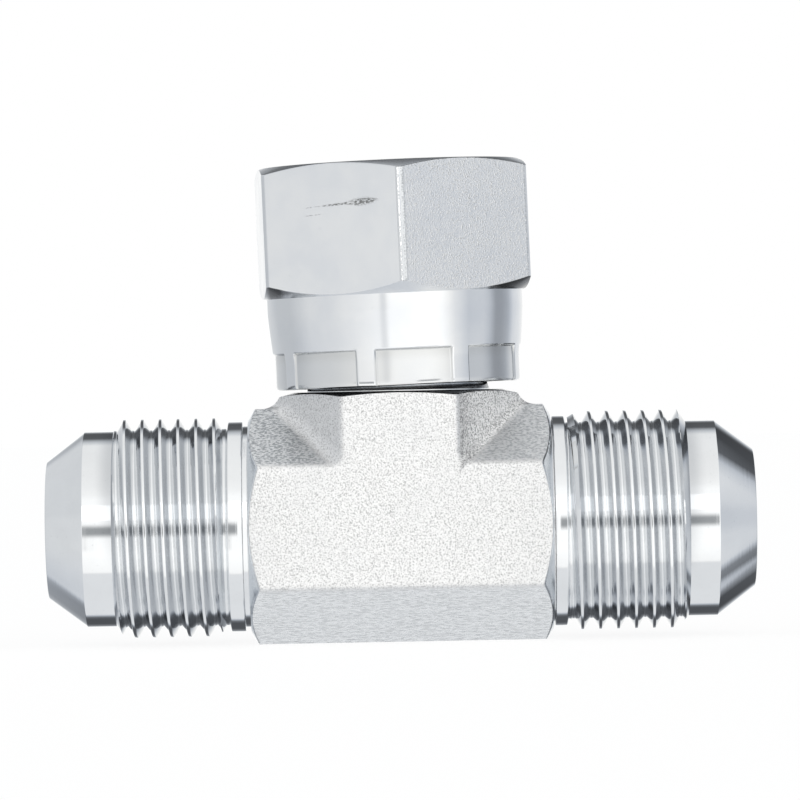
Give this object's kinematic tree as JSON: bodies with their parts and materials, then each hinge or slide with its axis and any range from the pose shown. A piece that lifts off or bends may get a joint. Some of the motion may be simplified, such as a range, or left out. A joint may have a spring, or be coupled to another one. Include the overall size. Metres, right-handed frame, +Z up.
{
  "type": "swivel branch tee",
  "caption": "Forged hydraulic tee with two male 37 degree flare ends in line and a female swivel nut crimped on the branch.",
  "frame": {"origin": "where the run axis meets the branch axis, inside the body", "axes": "+X along the run to the right male end, +Z up the branch towards the swivel nut, front faces -Y"},
  "size_m": [0.0716, 0.0304, 0.0488],
  "materials": {
    "forged_zinc": "shot-blasted steel forging, bright zinc plated, fine sparkling grain",
    "turned_zinc": "turned steel, bright zinc plated, fine tool rings round the axis",
    "nut_zinc": "drawn hexagon steel, bright zinc plated, smooth flats and a crimped tail"
  },
  "bodies": {
    "tee": {"tee_body": "forged_zinc"},
    "nut": {"swivel_nut": "nut_zinc"}
  },
  "joints": [
    {"name": "nut_swivel", "type": "hinge", "parent": "tee", "child": "nut", "pos_m": [0, 0, 0.01405], "axis": [-0.0262, 0, 0.9997], "continuous": true}
  ]
}
